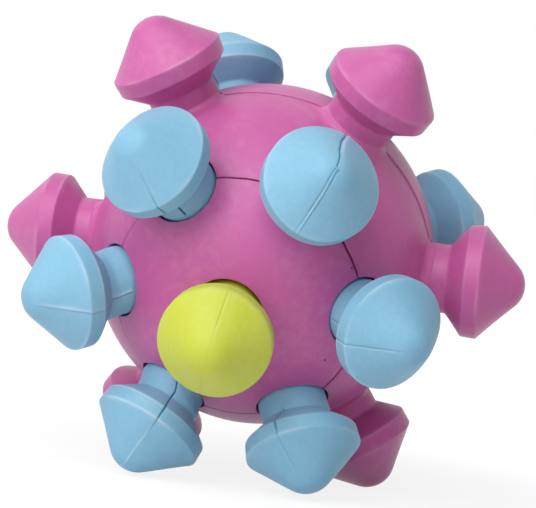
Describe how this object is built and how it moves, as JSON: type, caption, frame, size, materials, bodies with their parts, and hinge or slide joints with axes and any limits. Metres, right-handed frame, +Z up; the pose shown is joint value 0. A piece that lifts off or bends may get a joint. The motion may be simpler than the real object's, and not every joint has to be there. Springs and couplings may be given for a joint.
{
  "type": "treat dispensing ball",
  "caption": "Hollow rubber ball toy in four panels, with moulded studs round its middle, push-in studs in rings above and below, and a plug at each pole that closes a treat port.",
  "frame": {"origin": "centre of the ball, which is also the centre of the box round the studs", "axes": "+Z up as the ball stands on four stud tips, -Y towards the front pole, which leans down by about 19 degrees, +X along the moulded stud on the right"},
  "size_m": [0.14, 0.1322, 0.117],
  "materials": {
    "pink_rubber": "matte",
    "blue_rubber": "matte",
    "green_rubber": "matte"
  },
  "bodies": {
    "ball": {"front_cap": "pink_rubber", "front_band": "pink_rubber", "back_band": "pink_rubber", "back_cap": "pink_rubber"},
    "blue_stud_front_1": {"blue_stud_front_1": "blue_rubber"},
    "blue_stud_front_2": {"blue_stud_front_2": "blue_rubber"},
    "blue_stud_front_3": {"blue_stud_front_3": "blue_rubber"},
    "blue_stud_front_4": {"blue_stud_front_4": "blue_rubber"},
    "blue_stud_front_5": {"blue_stud_front_5": "blue_rubber"},
    "blue_stud_front_6": {"blue_stud_front_6": "blue_rubber"},
    "blue_stud_back_1": {"blue_stud_back_1": "blue_rubber"},
    "blue_stud_back_2": {"blue_stud_back_2": "blue_rubber"},
    "blue_stud_back_3": {"blue_stud_back_3": "blue_rubber"},
    "blue_stud_back_4": {"blue_stud_back_4": "blue_rubber"},
    "blue_stud_back_5": {"blue_stud_back_5": "blue_rubber"},
    "blue_stud_back_6": {"blue_stud_back_6": "blue_rubber"},
    "green_plug_front": {"green_plug_front": "green_rubber"},
    "green_plug_back": {"green_plug_back": "green_rubber"}
  },
  "joints": [
    {"name": "blue_stud_front_1_pull", "type": "slide", "parent": "ball", "child": "blue_stud_front_1", "axis": [0.7206, -0.6547, -0.2285], "range_m": [0, 0.015]},
    {"name": "blue_stud_front_2_pull", "type": "slide", "parent": "ball", "child": "blue_stud_front_2", "axis": [0.3603, -0.8603, 0.3607], "range_m": [0, 0.015]},
    {"name": "blue_stud_front_3_pull", "type": "slide", "parent": "ball", "child": "blue_stud_front_3", "axis": [-0.3603, -0.8603, 0.3607], "range_m": [0, 0.015]},
    {"name": "blue_stud_front_4_pull", "type": "slide", "parent": "ball", "child": "blue_stud_front_4", "axis": [-0.7206, -0.6547, -0.2285], "range_m": [0, 0.015]},
    {"name": "blue_stud_front_5_pull", "type": "slide", "parent": "ball", "child": "blue_stud_front_5", "axis": [-0.3603, -0.449, -0.8177], "range_m": [0, 0.015]},
    {"name": "blue_stud_front_6_pull", "type": "slide", "parent": "ball", "child": "blue_stud_front_6", "axis": [0.3603, -0.449, -0.8177], "range_m": [0, 0.015]},
    {"name": "blue_stud_back_1_pull", "type": "slide", "parent": "ball", "child": "blue_stud_back_1", "axis": [0.7206, 0.6547, 0.2285], "range_m": [0, 0.015]},
    {"name": "blue_stud_back_2_pull", "type": "slide", "parent": "ball", "child": "blue_stud_back_2", "axis": [0.3603, 0.449, 0.8177], "range_m": [0, 0.015]},
    {"name": "blue_stud_back_3_pull", "type": "slide", "parent": "ball", "child": "blue_stud_back_3", "axis": [-0.3603, 0.449, 0.8177], "range_m": [0, 0.015]},
    {"name": "blue_stud_back_4_pull", "type": "slide", "parent": "ball", "child": "blue_stud_back_4", "axis": [-0.7206, 0.6547, 0.2285], "range_m": [0, 0.015]},
    {"name": "blue_stud_back_5_pull", "type": "slide", "parent": "ball", "child": "blue_stud_back_5", "axis": [-0.3603, 0.8603, -0.3607], "range_m": [0, 0.015]},
    {"name": "blue_stud_back_6_pull", "type": "slide", "parent": "ball", "child": "blue_stud_back_6", "axis": [0.3603, 0.8603, -0.3607], "range_m": [0, 0.015]},
    {"name": "green_plug_front_pull", "type": "slide", "parent": "ball", "child": "green_plug_front", "axis": [0, -0.9441, -0.3295], "range_m": [0, 0.03]},
    {"name": "green_plug_back_pull", "type": "slide", "parent": "ball", "child": "green_plug_back", "axis": [0, 0.9441, 0.3295], "range_m": [0, 0.03]}
  ]
}
